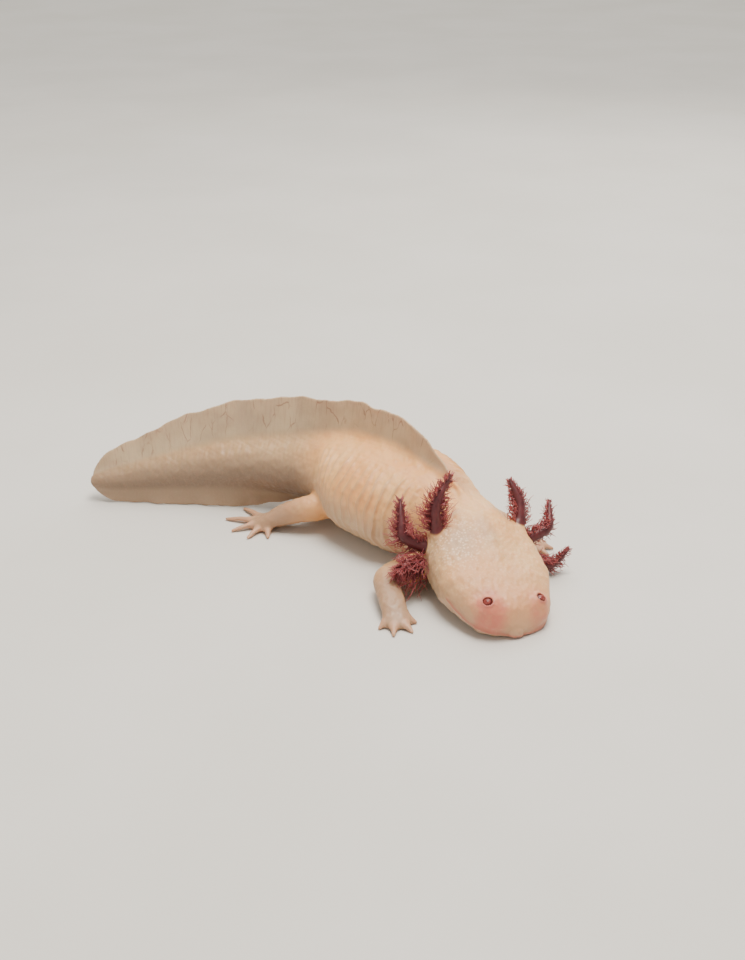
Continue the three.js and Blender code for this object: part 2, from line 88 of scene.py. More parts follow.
DORSAL_FIN = [[42, -3], [48, 1.2], [58, 5.8], [70, 10.2], [84, 11.4], [96, 12.2], [108, 13.2], [125, 15.2],
              [145, 14.2], [165, 11], [178, 8.4], [188, 7.2]]
VENTRAL_FIN = [[106, -3], [112, 0.8], [122, 4.6], [135, 7.6], [150, 8.4], [165, 7.4], [178, 6], [188, 5.2]]
FIN_ROOT, FIN_EDGE, FIN_ROUND, FIN_TIP_ROUND = 1.5, 0.36, 0.3, 14.0

MOUTH = [[0, -0.9], [10, -1.2], [17, -0.4]]
MOUTH_END = 17.5
EYE_S, EYE_X, EYE_RADIUS, EYE_PROUD = 6.5, 8.4, 1.7, 0.75

# A gill's root is its s, x and z. Its middle and tip are measured from there: tailward, outward and up.
# reach scales its filaments, droop lets them hang, and fan is how far they turn from tailward, in degrees.
GILLS = {
    "right_upper": dict(side=-1, root=(36, 13.6, 5.6), middle=(3.4, 1, 8), tip=(8.8, -4.4, 16.6),
                        reach=0.95, droop=0.12, fan=(35, 118)),
    "right_middle": dict(side=-1, root=(35.5, 14.4, 1), middle=(5.2, 8.6, 3.1), tip=(13, 7.9, 10.1),
                         reach=0.95, droop=0.2, fan=(30, 118)),
    "right_lower": dict(side=-1, root=(34, 14.8, -3.6), middle=(-1.4, 7.4, 1.2), tip=(-4, 13.4, 2),
                        reach=1.25, droop=0.45, fan=(35, 150)),
    "left_upper": dict(side=1, root=(36, 13.6, 5.6), middle=(5.4, 1.6, 5), tip=(11.8, -0.6, 10.8),
                       reach=0.6, droop=0.12, fan=(30, 118)),
    "left_middle": dict(side=1, root=(35.5, 14.4, 1), middle=(2.7, 11, 4), tip=(9.4, 12.9, 8.2),
                        reach=0.6, droop=0.15, fan=(30, 118)),
    "left_lower": dict(side=1, root=(34, 14.8, -4), middle=(-3.6, 9.6, -0.8), tip=(-3, 15.4, 4.6),
                       reach=0.7, droop=0.35, fan=(30, 130)),
}
GILL_STALK = [[0, 2.2], [0.3, 1.85], [0.6, 1.45], [0.85, 0.9], [1, 0.35]]

ARM_WIDTH = [[0, 4.8], [0.35, 4.5], [0.7, 3.8], [0.86, 4], [1, 3.4]]
ARM_DEPTH = [[0, 4.4], [0.35, 4], [0.7, 3.1], [0.86, 2.2], [1, 1.3]]
LEG_WIDTH = [[0, 5.6], [0.4, 4.5], [0.72, 3.9], [0.88, 4.6], [1, 4]]
LEG_DEPTH = [[0, 5.6], [0.4, 4.3], [0.72, 3.5], [0.88, 2.4], [1, 1.4]]
DIGIT_WIDTH = [[0, 1.25], [0.5, 1], [0.9, 0.72], [1, 0.5]]
DIGIT_DEPTH = [[0, 1], [0.5, 0.85], [1, 0.45]]
DIGITS_FROM, DIGIT_ROOT, DIGIT_KNUCKLE = 0.93, 3, 0.6
DIGIT_HEIGHTS = (1.5, 1.35, 0.5)
# A limb's joints are forward, outward and up from the floor under the spine at s. fan holds the bearings of
# the first and last digit, in degrees from forward to outward, and digits their lengths beyond the web.
LIMBS = {
    "arm_right": dict(s=50, side=-1, width=ARM_WIDTH, depth=ARM_DEPTH,
                      joints=[(4.5, 9, 5.4), (5.4, 30, 5.2), (15, 34.8, 4), (19.4, 36.8, 1.7)],
                      fan=(76, -34), digits=(4.2, 6.3, 6, 3.6)),
    "arm_left": dict(s=50, side=1, width=ARM_WIDTH, depth=ARM_DEPTH,
                     joints=[(-1, 8, 8.4), (-3, 20.5, 7), (5, 25, 3.6), (9.4, 26, 1.6)],
                     fan=(75, -25), digits=(4, 5.5, 6, 5)),
    "leg_right": dict(s=102, side=-1, width=LEG_WIDTH, depth=LEG_DEPTH,
                      joints=[(5, 8, 9), (-1.5, 17, 8), (-11.5, 20.3, 4.4), (-17, 20.3, 1.8)],
                      fan=(207, 62), digits=(12, 12, 9.5, 8, 6)),
    "leg_left": dict(s=102, side=1, width=LEG_WIDTH, depth=LEG_DEPTH,
                     joints=[(5, 8, 9), (-1, 18, 7.5), (-11, 24, 4), (-15, 26, 1.7)],
                     fan=(200, 70), digits=(7, 9, 8.5, 7.5, 6)),
}

# Camera: it looks along +Y and down, and the origin falls on this pixel of the 745 x 960 image.
IMAGE = (745, 960)
LENS, SENSOR = 50.0, 36.0
CAMERA_DOWN = 26.0
CAMERA_DEPTH = 449.0
ORIGIN_PIXEL = (378.0, 524.5)


# ---------------- curves
CURVE_SAMPLES = 1500


def through(keys):
    """A smooth monotone curve through [place, value] keys, as in the solids."""
    at, value = (np.array([k[i] for k in keys], float) for i in (0, 1))
    slope = np.diff(value) / np.diff(at)
    tangent = np.concatenate([slope[:1], np.zeros(len(slope) - 1), slope[-1:]])
    product = slope[:-1] * slope[1:]
    total = np.where(product > 0, slope[:-1] + slope[1:], 1)
    tangent[1:-1] = np.where(product > 0, 2 * product / total, 0)

    def exact(x):
        i = np.clip(np.searchsorted(at, x, side="right") - 1, 0, len(at) - 2)
        h = at[i + 1] - at[i]
        t = (x - at[i]) / h
        rest = value[i + 1] - value[i] - tangent[i] * h
        turn = (tangent[i + 1] - tangent[i]) * h
        return value[i] + tangent[i] * h * t + (3 * rest - turn) * t**2 + (turn - 2 * rest) * t**3

    table = np.linspace(at[0], at[-1], CURVE_SAMPLES)
    values = exact(table)
    return lambda x: np.interp(x, table, values)


def rounding(past_end, reach, power):
    """The share of full size at a distance past an end that is rounded over its reach."""
    t = np.clip(np.asarray(past_end, float) / reach, 0, 1)
    return (1 - (1 - t) ** power) ** (1 / power)


def smooth_step(low, high, value):
    t = np.clip((np.asarray(value, float) - low) / (high - low), 0, 1)
    return t * t * (3 - 2 * t)


def fade(low, high, value):
    return 1 - smooth_step(low, high, value)


def span(value, start, full, fading, end):
    """One between full and fading, and nought before start and past end."""
    return smooth_step(start, full, value) * fade(fading, end, value)


def bump(value, width):
    return np.exp(-((np.asarray(value, float) / width) ** 2))


def smooth_min(a, b, reach):
    h = np.maximum(reach - np.abs(a - b), 0) / reach
    return np.minimum(a, b) - h * h * reach / 4


def smooth_max(a, b, reach):
    return -smooth_min(-a, -b, reach)


def size_of(v):
    return np.linalg.norm(v, axis=-1)


def unit(v):
    return v / np.maximum(size_of(v), 1e-12)[..., None]


def dot(a, b):
    return np.einsum("...i,...i->...", a, b)


def between(rows, place):
    """The row at a place that need not be a whole number."""
    i = place.astype(int)
    part = (place - i)[..., None]
    return rows[i] * (1 - part) + rows[i + 1] * part


UP = np.array([0.0, 0.0, 1.0])
heading_at, rise_at, lean_at = map(through, (HEADING, RISE, LEAN))
half_width_at, back_at, belly_at = map(through, (HALF_WIDTH, BACK, BELLY))
squareness_at, mouth_at = map(through, (SQUARENESS, MOUTH))
dorsal_at, ventral_at = map(through, (DORSAL_FIN, VENTRAL_FIN))


def tailward(s):
    """The spine's direction at s, away from the snout."""
    turn, climb = np.radians(heading_at(s)), np.radians(rise_at(s))
    return np.stack([np.cos(turn) * np.cos(climb), np.sin(turn) * np.cos(climb), np.sin(climb)], -1)


class Spine:
    """The spine's places and section axes, and where a point lies along it."""

    STEP = 0.5

    def __init__(self):
        s = np.arange(0, LENGTH + self.STEP / 2, self.STEP)
        steps = tailward(s[:-1] + self.STEP / 2) * self.STEP
        place = np.vstack([np.zeros(3), np.cumsum(steps, axis=0)])
        rest = place[int(REST_AT / self.STEP)] - UP * (belly_at(REST_AT) - PRESS)
        tail = tailward(s)
        level = unit(np.cross(tail, UP))
        upright = np.cross(level, tail)
        tilt = np.radians(lean_at(s))[:, None]
        left = level * np.cos(tilt) - upright * np.sin(tilt)
        up = upright * np.cos(tilt) + level * np.sin(tilt)
        bend = np.gradient(tail, self.STEP, axis=0)
        self.rows = np.hstack([place - rest, tail, left, up, bend])

    def at(self, s):
        """Place, tailward, left, up and bend at s."""
        row = between(self.rows, np.clip(np.asarray(s, float) / self.STEP, 0, len(self.rows) - 1.0001))
        return [row[..., k : k + 3] for k in range(0, 15, 3)]

    def place(self, s, x, z):
        place, _, left, up, _ = self.at(s)
        return place + left * np.asarray(x, float)[..., None] + up * np.asarray(z, float)[..., None]

    def locate(self, points):
        """s, x, z of each point, with s running on straight past both ends."""
        coarse = self.rows[::8, :3]
        s = np.concatenate([
            ((part[:, None, :] - coarse[None]) ** 2).sum(-1).argmin(1)
            for part in np.array_split(points, len(points) // 20_000 + 1)
        ]) * 8 * self.STEP
        for _ in range(4):
            place, tail, _, _, bend = self.at(s)
            off = points - place
            s = np.clip(s + dot(off, tail) / np.maximum(1 - dot(off, bend), 0.4), 0, LENGTH)
        place, tail, left, up, _ = self.at(s)
        off = points - place
        ended = (s < 1e-6) | (s > LENGTH - 1e-6)
        return np.stack([s + np.where(ended, dot(off, tail), 0), dot(off, left), dot(off, up)], -1)


spine = Spine()


def section_at(s):
    """Half-width, back and belly, with the rounding of both ends."""
    end = rounding(LENGTH - s, TAIL_ROUND, 2)
    width = rounding(s, SNOUT_WIDTH_ROUND, SNOUT_POWER) * end
    depth = rounding(s, SNOUT_DEPTH_ROUND, SNOUT_POWER) * end
    sizes = half_width_at(s) * width, back_at(s) * depth, belly_at(s) * depth
    return [np.maximum(size, 0.05) for size in sizes]


class Tube:
    """A limb, digit or gill stalk: an oval section along a path through points."""

    COUNT = 40
    MARGIN = 5

    def __init__(self, points, width, depth):
        points = np.array(points, float)
        far = np.concatenate([[0], np.cumsum(size_of(np.diff(points, axis=0)))])
        share = far / far[-1]
        axes = [through(list(zip(share, points[:, k]))) for k in range(3)]
        t = np.linspace(0, 1, self.COUNT)
        place = np.stack([f(t) for f in axes], -1)
        along = unit(np.gradient(place, axis=0))
        across = unit(np.cross(UP, along))
        lift = np.cross(along, across)
        sizes = np.stack([through(keys)(t) for keys in (width, depth)], -1)
        self.rows = np.hstack([place, along, across, lift, sizes])
        self.length = far[-1]
        reach = sizes[:, 0].max() + self.MARGIN
        self.low, self.high = place.min(0) - reach, place.max(0) + reach

    def at(self, t):
        """Place, along, across, lift, width and depth at a share of the path."""
        row = between(self.rows, np.clip(np.asarray(t, float), 0, 1) * (self.COUNT - 1.0001))
        return row[..., :3], row[..., 3:6], row[..., 6:9], row[..., 9:12], row[..., 12], row[..., 13]

    def distance(self, points):
        return self.locate(points.reshape(-1, 3))[0].reshape(points.shape[:-1])

    def locate(self, points):
        """Distance to the surface, and the share along the path."""
        place = self.rows[:, :3]
        near = (-2 * points @ place.T + (place**2).sum(1)).argmin(1)
        step = self.length / (self.COUNT - 1)
        t = (near + dot(points - place[near], self.rows[near, 3:6]) / step) / (self.COUNT - 1)
        t = np.clip(t, 0, 1)
        place, along, across, lift, width, depth = self.at(t)
        off = points - place
        a, b, c = dot(off, across) / width, dot(off, lift) / depth, dot(off, along) / width
        f = np.maximum(np.sqrt(a * a + b * b + c * c), 1e-4)
        slope = np.sqrt((a / width) ** 2 + (b / depth) ** 2 + (c / width) ** 2) / f
        return (f - 1) / np.maximum(slope, 1e-6), t


def flat_axes(s, side):
    """The animal's forward and outward directions on the floor at s."""
    tail = unit(tailward(s) * [1, 1, 0])
    return -tail, side * np.cross(tail, UP)


def limb_tubes(limb):
    """The limb itself, then its digits."""
    forward, outward = flat_axes(limb["s"], limb["side"])
    base = spine.at(float(limb["s"]))[0] * [1, 1, 0]
    joints = [base + forward * f + outward * o + UP * h for f, o, h in limb["joints"]]
    tubes = [Tube(joints, limb["width"], limb["depth"])]
    foot = tubes[0].at(DIGITS_FROM)[0] * [1, 1, 0]
    bearings = np.radians(np.linspace(*limb["fan"], len(limb["digits"])))
    for bearing, length in zip(bearings, limb["digits"]):
        along = forward * math.cos(bearing) + outward * math.sin(bearing)
        reach = length + DIGIT_ROOT
        points = [foot + along * reach * share + UP * height
                  for share, height in zip((0, DIGIT_KNUCKLE, 1), DIGIT_HEIGHTS)]
        tubes.append(Tube(points, DIGIT_WIDTH, DIGIT_DEPTH))
    return tubes


def gill_tube(gill):
    s, outward, z = gill["root"]
    start = spine.place(float(s), gill["side"] * outward, z)
    _, tail, left, up, _ = spine.at(float(s))
    points = [start] + [start + tail * b + left * gill["side"] * o + up * r
                        for b, o, r in (gill["middle"], gill["tip"])]
    return Tube(points, GILL_STALK, GILL_STALK)


limbs = {name: limb_tubes(limb) for name, limb in LIMBS.items()}
stalks = {name: gill_tube(gill) for name, gill in GILLS.items()}


def eye_axes(side):
    """Centre and outward direction of an eye."""
    def surface(x):
        width, back, _ = section_at(EYE_S)
        power = squareness_at(EYE_S)
        return spine.place(EYE_S, side * x, back * (1 - (x / width) ** power) ** (1 / power))

    across = (surface(EYE_X + 0.5) - surface(EYE_X - 0.5)) * side
    outward = unit(np.cross(across, tailward(EYE_S)))
    outward = outward * np.sign(outward[2])
    return surface(EYE_X) + outward * (EYE_PROUD - EYE_RADIUS), outward


eyes = {"left": eye_axes(1), "right": eye_axes(-1)}


# ---------------- the field
# How far each pair of shapes blends where they meet.
BLEND = dict(sharp=0.01, dorsal_fin=3.2, ventral_fin=2.4, mound=1.6, limb=2.4, web=2.6, gill=2.6,
             socket=0.3, floor=0.5)


def waves(points, count, longest, shortest, seed):
    """Soft seeded noise between about -1 and 1."""
    random = np.random.default_rng(seed)
    total = np.zeros(len(points))
    for _ in range(count):
        way = unit(random.normal(size=points.shape[1]))
        length = longest * (shortest / longest) ** random.random()
        total += np.sin(points @ way * (2 * math.pi / length) + random.random() * 2 * math.pi)
    return total * (1.4 / math.sqrt(count))


def past_ends(s):
    """s kept on the body, and how far it lay past an end."""
    kept = np.clip(s, 0, LENGTH)
    return kept, np.abs(s - kept)


def core_distance(s, x, z):
    """Distance to the body without its fins."""
    width, back, belly = section_at(s)
    height = np.where(z > 0, back, belly)
    power = squareness_at(s)
    a, b = np.abs(x) / width + 1e-6, np.abs(z) / height + 1e-6
    f = np.maximum((a**power + b**power) ** (1 / power), 1e-4)
    slope = f ** (1 - power) * np.hypot(a ** (power - 1) / width, b ** (power - 1) / height)
    return (f - 1) / np.maximum(slope, 1e-6)


def fin_ripple(s, share):
    """How far the fin sways to the left, most at its edge."""
    return share**1.5 * (0.5 * np.sin(s * 0.33 + 0.6) + 0.28 * np.sin(s * 0.71))


def fin_height(s, height_at):
    """The fin's height with its scalloped edge and the dip behind the hips."""
    scallop = 0.4 * np.sin(s * 0.29 + 0.8 * np.sin(s * 0.13)) + 0.16 * np.sin(s * 0.83 + 1.0)
    scallop = scallop - 0.7 * bump(s - 108, 3.2)
    return (height_at(s) + scallop) * rounding(LENGTH - s, FIN_TIP_ROUND, 2)


def fin_distance(s, x, z, height_at, core_at, sign):
    """Distance to the upper or lower fin, a slab that thins towards its edge."""
    height = fin_height(s, height_at)
    h = sign * z - core_at(s)
    share = np.clip(h / np.maximum(height, 0.5), 0, 1)
    thick = FIN_EDGE + (FIN_ROOT - FIN_EDGE) * (1 - share) ** 1.7
    side = np.abs(x - fin_ripple(s, share)) - thick + FIN_ROUND
    top = h - height + FIN_ROUND
    d = np.hypot(np.maximum(side, 0), np.maximum(top, 0)) + np.minimum(np.maximum(side, top), 0) - FIN_ROUND
    return np.maximum(d, -sign * z)


def body_distance(located):
    s, over = past_ends(located[..., 0])
    x, z = located[..., 1], located[..., 2]
    core, dorsal, ventral = (np.where(over > 0, np.hypot(np.maximum(d, 0), over), d) for d in (
        core_distance(s, x, z),
        fin_distance(s, x, z, dorsal_at, back_at, 1),
        fin_distance(s, x, z, ventral_at, belly_at, -1),
    ))
    return smooth_min(smooth_min(core, dorsal, BLEND["dorsal_fin"]), ventral, BLEND["ventral_fin"])


MOUND_SINK, MOUND_RISE = 1.1, 1.25
SOCKET_GAP = -0.04
EYE_OPENING = 1.4


def eye_mound(points, eye):
    """Distance to the low swelling that an eye sits in."""
    centre, outward = eye
    return size_of(points - centre + outward * MOUND_SINK) - EYE_RADIUS - MOUND_RISE


def eye_socket(points, eye):
    """Distance to the hollow that holds the ball, with its opening in the skin."""
    centre, outward = eye
    off = points - centre
    along = dot(off, outward)
    ball = size_of(off) - EYE_RADIUS - SOCKET_GAP
    bore = size_of(off - along[..., None] * outward) - EYE_OPENING
    return np.minimum(ball, np.maximum(bore, -along))


class Field:
    """The skin's field on a grid, worked out only in the blocks of cells that the skin passes through."""

    BLOCK = 6
    FAR = 9.0
    MARGIN, BELOW_FLOOR = 2.5, 1.5
    CORNERS = [(i, j, k) for i in (0, 1) for j in (0, 1) for k in (0, 1)]
    # From a block's middle to its corner, as a share of its side.
    TO_CORNER = 0.87
    BLEND_REACH, SURFACE_REACH = 4.5, 1.0
    BATCH = 1500

    def __init__(self, cell):
        self.cell = cell
        self.size = size = cell * self.BLOCK
        self.low = np.array(cad_box[0]) / MM - self.MARGIN
        self.low[2] = -self.BELOW_FLOOR
        high = np.array(cad_box[1]) / MM + self.MARGIN
        self.blocks = np.ceil((high - self.low) / size).astype(int)
        corners = self.steps(self.blocks + 1)
        located = spine.locate((self.low + corners * size).reshape(-1, 3)).reshape(corners.shape)
        across, deep, high_up = self.blocks
        near = [located[i : i + across, j : j + deep, k : k + high_up].reshape(-1, 3)
                for i, j, k in self.CORNERS]
        self.corners = np.stack(near, 1)
        self.index = self.steps(self.blocks).reshape(-1, 3)
        middle = self.low + (self.index + 0.5) * size
        self.coarse = self.combine(middle[:, None, :], self.corners.mean(1)[:, None, :])[:, 0]

    @staticmethod
    def steps(counts):
        """The whole-number places of a grid with these counts."""
        return np.stack(np.meshgrid(*[np.arange(n) for n in counts], indexing="ij"), -1)

    def combine(self, points, located, blocks=None):
        """The field at points, located along the spine, a row to each block.

        The first call is at the middles of all the blocks and keeps each shape's own distance there. Later
        calls name their blocks, and leave out a shape that is too far from a block to change it.
        """
        reach = self.size * self.TO_CORNER + self.BLEND_REACH
        first = blocks is None
        if first:
            self.parts = []
        known = iter(self.parts)

        def join(total, distance, smooth, at=points):
            """Blend a shape into the total, in the blocks that it can change."""
            pick = slice(None) if first else np.abs(next(known)[blocks]) < reach
            d = distance(at[pick])
            if first:
                self.parts.append(d[:, 0])
            total[pick] = smooth_min(total[pick], d, smooth)

        total = np.full(points.shape[:2], self.FAR * 4)
        join(total, body_distance, BLEND["sharp"], located)
        for eye in eyes.values():
            join(total, lambda at: eye_mound(at, eye), BLEND["mound"])
        for tubes in limbs.values():
            limb = np.full(points.shape[:2], self.FAR * 4)
            for k, tube in enumerate(tubes):
                join(limb, tube.distance, BLEND["web" if k else "sharp"])
            total = smooth_min(total, limb, BLEND["limb"])
        for tube in stalks.values():
            join(total, tube.distance, BLEND["gill"])
        for eye in eyes.values():
            total = smooth_max(total, -eye_socket(points, eye), BLEND["socket"])
        return smooth_max(total, -points[..., 2], BLEND["floor"])

    def surface(self):
        """Points and four-sided faces where the field is zero."""
        n = self.BLOCK
        cells = self.steps([n] * 3).reshape(-1, 3)
        part = cells / n
        weights = np.stack([np.prod(np.where(corner, part, 1 - part), 1) for corner in self.CORNERS], 1)
        active = np.flatnonzero(np.abs(self.coarse) < self.size * self.TO_CORNER + self.SURFACE_REACH)
        grid = self.coarse.reshape(self.blocks)
        for axis in range(3):
            grid = np.repeat(grid, n, axis)
        grid = grid.astype(np.float32)
        for some in np.array_split(active, len(active) // self.BATCH + 1):
            at = self.index[some][:, None, :] * n + cells
            located = weights @ self.corners[some]
            values = self.combine(self.low + at * self.cell, located, some)
            at = at.reshape(-1, 3)
            grid[at[:, 0], at[:, 1], at[:, 2]] = values.reshape(-1)
        volume = openvdb.FloatGrid(self.FAR)
        volume.copyFromArray(np.ascontiguousarray(np.clip(grid, -self.FAR, self.FAR)))
        points, faces = volume.convertToQuads(isovalue=0.0)
        return self.low + np.asarray(points, float) * self.cell, np.asarray(faces, int)[:, ::-1]


# ---------------- the skin's mesh
CELL = 0.36
SMOOTHINGS = 3
SMOOTH_IN, SMOOTH_OUT = 0.5, -0.53


def add_object(name, data):
    thing = bpy.data.objects.new(name, data)
    bpy.context.scene.collection.objects.link(thing)
    return thing


def new_mesh(name, points, faces):
    """A mesh object from points in millimetres and faces of one length."""
    mesh = bpy.data.meshes.new(name)
    sides = faces.shape[1]
    mesh.vertices.add(len(points))
    mesh.vertices.foreach_set("co", (points * MM).astype(np.float32).ravel())
    mesh.loops.add(faces.size)
    mesh.loops.foreach_set("vertex_index", faces.astype(np.int32).ravel())
    mesh.polygons.add(len(faces))
    mesh.polygons.foreach_set("loop_start", np.arange(0, faces.size, sides, dtype=np.int32))
    mesh.polygons.foreach_set("use_smooth", np.ones(len(faces), bool))
    mesh.update(calc_edges=True)
    mesh.validate()
    return add_object(name, mesh)


def add_numbers(mesh, name, values):
    values = np.asarray(values, np.float32)
    kind = "FLOAT_VECTOR" if values.ndim == 2 else "FLOAT"
    layer = mesh.attributes.new(name, kind, "POINT")
    layer.data.foreach_set("vector" if values.ndim == 2 else "value", values.ravel())


def ring_faces(rings, sides):
    """Triangles between rings of points, and from the end rings to the two points that follow them."""
    first_end, last = rings * sides, (rings - 1) * sides
    faces = []
    for a in range(sides):
        b = (a + 1) % sides
        for start in range(0, last, sides):
            one, two = start + a, start + b
            faces += [(one, one + sides, two + sides), (one, two + sides, two)]
        faces += [(first_end, a, b), (first_end + 1, last + b, last + a)]
    return np.array(faces)


def neighbours_mean(points, quads):
    """The mean of the points joined to each point."""
    a = quads.ravel()
    b = np.roll(quads, -1, axis=1).ravel()
    one, other = np.concatenate([a, b]), np.concatenate([b, a])
    count = np.bincount(one, minlength=len(points))
    total = [np.bincount(one, points[other, k], minlength=len(points)) for k in range(points.shape[1])]
    return np.stack(total, 1) / np.maximum(count, 1)[:, None]


def smoothed(points, quads, rounds):
    """Taubin smoothing: it takes the grid's grain off and keeps the size."""
    for _ in range(rounds):
        for strength in (SMOOTH_IN, SMOOTH_OUT):
            points = points + strength * (neighbours_mean(points, quads) - points)
    return points


def point_normals(points, quads):
    corner = points[quads]
    face = np.cross(corner[:, 2] - corner[:, 0], corner[:, 3] - corner[:, 1])
    total = np.zeros_like(points)
    for k in range(3):
        total[:, k] = sum(np.bincount(quads[:, c], face[:, k], minlength=len(points)) for c in range(4))
    return unit(total)


FAR_OFF = 99.0


def limb_share(points, tubes, body):
    """How much of each point is limb, the share along it, how much is digit, and the limb's distance."""
    limb, along, digit = np.zeros((3, len(points)))
    distance = np.full(len(points), FAR_OFF)
    low = np.min([tube.low for tube in tubes], axis=0)
    high = np.max([tube.high for tube in tubes], axis=0)
    near = np.flatnonzero(((points > low) & (points < high)).all(1))
    main, along[near] = tubes[0].locate(points[near])
    fingers = np.min([tube.locate(points[near])[0] for tube in tubes[1:]], axis=0)
    distance[near] = np.minimum(main, fingers)
    limb[near] = smooth_step(-1.5, 1.5, body[near] - distance[near])
    digit[near] = smooth_step(-0.3, 0.8, main - fingers)
    return limb, along * limb, digit * limb, distance


def gill_share(points, others):
    """How much of each point is gill stalk, where others is its distance to all the rest."""
    gill = np.zeros(len(points))
    for tube in stalks.values():
        near = np.flatnonzero(((points > tube.low) & (points < tube.high)).all(1))
        distance, t = tube.locate(points[near])
        share = smooth_step(-1.4, 0.9, others[near] - distance) * smooth_step(0, 0.12, t)
        gill[near] = np.maximum(gill[near], share * fade(0.4, 1.1, distance))
    return gill


def fin_share(sign, height_at, core_at, start, full, least):
    """How far up the fin each point lies, from nought at the body to one at the edge."""
    height = np.maximum(fin_height(s, height_at), least)
    return np.clip((sign * z - core_at(s)) / height, 0, 1.1) * smooth_step(start, full, s)


field = Field(CELL)
points, quads = field.surface()
points = smoothed(points, quads, SMOOTHINGS)
located = spine.locate(points)
s, over = past_ends(located[:, 0])
x, z = located[:, 1], located[:, 2]
width, back, belly = section_at(s)
body = body_distance(located)
dorsal = fin_share(1, dorsal_at, back_at, 46, 66, 4)
ventral = fin_share(-1, ventral_at, belly_at, 108, 118, 3)
shares = [limb_share(points, tubes, body) for tubes in limbs.values()]
limb, limb_along, digit = (sum(share[k] for share in shares) for k in range(3))
gill = gill_share(points, np.minimum(body, np.min([share[3] for share in shares], axis=0)))
flesh = 1 - np.maximum(limb, gill)

# ---------------- folds, lips and pits
# Places along the spine, and across it for marks off the middle line.
COSTAL = dict(start=53, end=102, spacing=3.5)
CHEVRON_SPACING = 2.7
CHEEK_S, CHEEK_X, HOLLOW_S, BETWEEN_EYES_S = 30, 9.8, 31, 9
BROW_S = EYE_S + 3.4
COLLAR_S, THROAT_S, NECK_S, HIP_S = 41.2, 40.5, 47, 103.2
NOSTRIL = (0.9, 4.3, 1.5)
UPPER_LIP, LOWER_LIP = 1.15, 0.95

off_middle = np.abs(x)
angle = np.degrees(np.arctan2(z / np.maximum(back, belly), off_middle / width))
right = np.where(x < 0, 1.0, 0.0)
upper = smooth_step(0, 5, z)
beside = smooth_step(-10, 0, z)

# the folds between the ribs
wander = waves(np.stack([s, z * 1.6, x * 0.3], 1), 12, 40, 9, SEED)
phase = s / COSTAL["spacing"] + 0.16 * wander - 0.012 * z + 0.35 * right
ridge = 0.5 + 0.5 * np.cos(2 * math.pi * phase)
fine_ridge = 0.5 + 0.5 * np.cos(2 * math.pi * (2.1 * phase + 0.3 + 0.12 * wander))
on_flank = span(angle, -70, -35, 38, 72)
costal = on_flank * span(s, COSTAL["start"] - 8, COSTAL["start"] + 10, COSTAL["end"] - 4, COSTAL["end"] + 4)
costal *= flesh * (0.75 + 0.25 * waves(np.stack([s, z], 1), 10, 30, 12, SEED + 1))
crease_and_painted_shade = costal * (ridge**2.4 + 0.22 * fine_ridge**4)

# the tail's chevrons
chevron = 0.5 + 0.5 * np.cos(2 * math.pi * (s / CHEVRON_SPACING + 0.11 * np.abs(z)))
on_tail = span(s, 104, 116, 170, 186) * flesh * fade(60, 85, np.abs(angle))

# the mouth
mouth_gap = z - mouth_at(s)
mouth_mask = fade(MOUTH_END - 3, MOUTH_END + 0.8, s) * flesh

# the head and neck
hollow = bump(x, 3.6) * bump(s - HOLLOW_S, 8) * upper
collar = bump(s - COLLAR_S + 0.05 * off_middle, 1.5) * span(off_middle, 2.5, 7, 13.5, 17)
collar *= smooth_step(-2, 3, z) * flesh
throat = bump(s - THROAT_S, 0.9) * smooth_step(1, 4, -z) * flesh
nostrils = [bump(size_of(points - spine.place(NOSTRIL[0], side * NOSTRIL[1], NOSTRIL[2])), 0.5)
            for side in (-1, 1)]

# Each mark's height over the skin, negative for a groove, and how much of it each point has.
marks = dict(
    crease_and_painted_shade=(-0.62, crease_and_painted_shade),
    costal_swell=(0.15, costal * (1 - ridge)),
    chevrons=(-0.07, chevron**3 * on_tail),
    lip_line=(-0.36, bump(mouth_gap, 0.46) * mouth_mask),
    upper_lip=(0.16, bump(mouth_gap - UPPER_LIP, 0.8) * mouth_mask),
    lower_lip=(0.06, bump(mouth_gap + LOWER_LIP, 0.6) * mouth_mask),
    furrow=(-0.25, bump(x, 1.5) * span(s, 8, 22, 44, 52) * (z > 0) * (1 - dorsal)),
    cheeks=(1.1, bump(off_middle - CHEEK_X, 5.2) * bump(s - CHEEK_S, 8.5) * upper),
    hollow=(-0.6, hollow),
    brow=(0.35, bump(off_middle - EYE_X, 3.4) * bump(s - BROW_S, 3.4) * smooth_step(0, 4, z)),
    between_eyes=(-0.3, bump(x, 4.5) * bump(s - BETWEEN_EYES_S, 6) * smooth_step(0, 4, z)),
    collar=(-0.55, collar),
    throat=(-0.5, throat),
    neck=(-0.5, bump(s - NECK_S, 4.5) * smooth_step(0.15, 0.8, off_middle / width) * flesh * beside),
    hip=(-0.35, bump(s - HIP_S, 0.9) * on_flank * flesh * smooth_step(-12, -2, z) * right),
    broad_waves=(0.1, flesh * waves(points, 24, 14, 3, SEED + 2)),
    fine_waves=(0.05, waves(points, 30, 3.2, 1.3, SEED + 3)),
    nostrils=(-0.45, sum(nostrils)),
)
lift = sum(height * mark for height, mark in marks.values())
thin = smooth_step(0.02, 0.2, np.maximum(dorsal, ventral)) * flesh
lift *= (1 - 0.85 * thin) * (1 - 0.7 * digit) * (1 - 0.6 * gill)
for centre, _ in eyes.values():
    lift *= smooth_step(1.3, 2.6, size_of(points - centre))
resting = fade(0.02, 0.5, points[:, 2])
points = points + point_normals(points, quads) * (lift * (1 - resting))[:, None]
points[:, 2] = np.maximum(points[:, 2], 0)

# ---------------- the skin's masks of colour
BLUSH_STRENGTH = {"left": 0.65, "right": 1.0}
EYE_BLUSH_REACH, LID_REACH = 5.0, 1.2
# An oval patch's middle, in s and x, and its reach both ways.
SNOUT_BLUSH = (3.4, 7.6, 4.2, 4.4)
SPECKLES = (30, -10, 9, 8)


